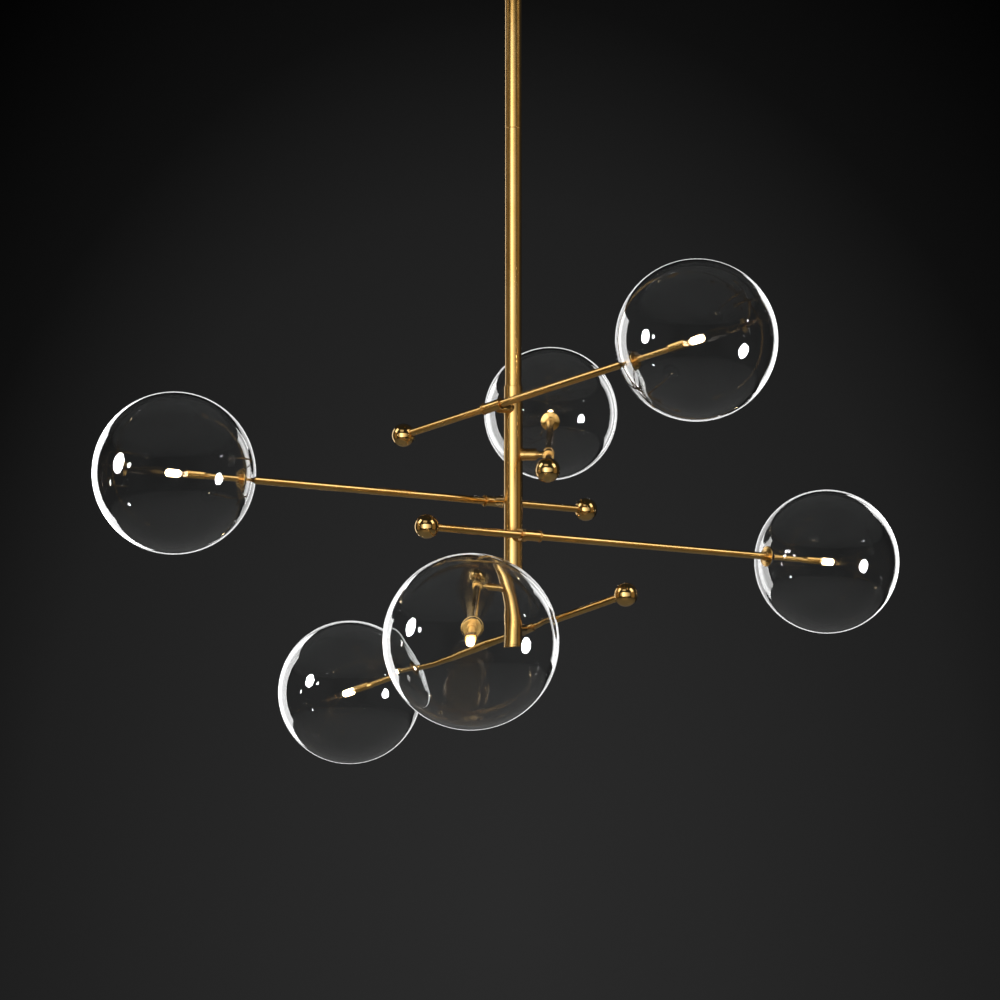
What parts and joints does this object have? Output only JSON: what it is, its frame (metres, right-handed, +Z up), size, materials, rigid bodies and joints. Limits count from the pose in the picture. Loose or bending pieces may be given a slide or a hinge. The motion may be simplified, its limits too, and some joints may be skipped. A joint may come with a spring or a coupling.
{
  "type": "branch chandelier",
  "caption": "Hanging branch chandelier: brass stem on down-rods with tilting arms, each with a clear glass globe, a capsule bulb and a counterweight ball.",
  "frame": {"origin": "on the ceiling plane, at the middle of the bracket's two fixing holes", "axes": "+Z up, out of the ceiling face; the stem runs down along -Z; +X to the viewer's right and +Y away from the viewer of the picture"},
  "size_m": [1.0552, 1.1382, 1.2464],
  "materials": {
    "brass": "satin",
    "polished_brass": "polished",
    "clear_glass": "clear",
    "bulb_glass": "lit",
    "steel": "zinc plated",
    "driver_case": "fine matt",
    "lead_sleeve": "silicone sleeve"
  },
  "bodies": {
    "root": {"ceiling_bracket": "steel", "canopy": "brass", "canopy_screws": "brass", "canopy_collar": "brass", "driver": "driver_case", "upper_downrod": "brass", "lower_downrod": "brass", "rod_nipples": "steel", "stem": "brass", "stem_cap": "brass", "leads": "lead_sleeve", "friction_washers": "steel", "post_1": "brass", "post_2": "brass", "post_3": "brass", "post_4": "brass", "post_5": "brass", "post_6": "brass"},
    "arm_1": {"tee_1": "brass", "rod_1": "brass", "ball_1": "polished_brass", "cap_1": "brass", "globe_1": "clear_glass", "lamp_holder_1": "brass", "bulb_1": "bulb_glass"},
    "arm_2": {"tee_2": "brass", "rod_2": "brass", "ball_2": "polished_brass", "cap_2": "brass", "globe_2": "clear_glass", "lamp_holder_2": "brass", "bulb_2": "bulb_glass"},
    "arm_3": {"tee_3": "brass", "rod_3": "brass", "ball_3": "polished_brass", "cap_3": "brass", "globe_3": "clear_glass", "lamp_holder_3": "brass", "bulb_3": "bulb_glass"},
    "arm_4": {"tee_4": "brass", "rod_4": "brass", "ball_4": "polished_brass", "cap_4": "brass", "globe_4": "clear_glass", "lamp_holder_4": "brass", "bulb_4": "bulb_glass"},
    "arm_5": {"tee_5": "brass", "rod_5": "brass", "ball_5": "polished_brass", "cap_5": "brass", "globe_5": "clear_glass", "lamp_holder_5": "brass", "bulb_5": "bulb_glass"},
    "arm_6": {"tee_6": "brass", "rod_6": "brass", "ball_6": "polished_brass", "cap_6": "brass", "globe_6": "clear_glass", "lamp_holder_6": "brass", "bulb_6": "bulb_glass"}
  },
  "joints": [
    {"name": "arm_1_tilt", "type": "hinge", "parent": "root", "child": "arm_1", "pos_m": [0, 0, -0.755], "axis": [-0.5878, -0.809, 0], "range_deg": [-28.5, 11.5]},
    {"name": "arm_2_tilt", "type": "hinge", "parent": "root", "child": "arm_2", "pos_m": [0, 0, -0.817], "axis": [0.9997, -0.0262, 0], "range_deg": [-23.5, 6.5]},
    {"name": "arm_3_tilt", "type": "hinge", "parent": "root", "child": "arm_3", "pos_m": [0, 0, -0.879], "axis": [-0.5592, 0.829, 0], "range_deg": [-19.25, 10.75]},
    {"name": "arm_4_tilt", "type": "hinge", "parent": "root", "child": "arm_4", "pos_m": [0, 0, -0.9235], "axis": [0.4772, -0.8788, 0], "range_deg": [-10.25, 19.75]},
    {"name": "arm_5_tilt", "type": "hinge", "parent": "root", "child": "arm_5", "pos_m": [0, 0, -0.9855], "axis": [-1, 0.0087, 0], "range_deg": [-8.75, 21.25]},
    {"name": "arm_6_tilt", "type": "hinge", "parent": "root", "child": "arm_6", "pos_m": [0, 0, -1.0475], "axis": [0.5519, 0.8339, 0], "range_deg": [-7, 33]}
  ]
}
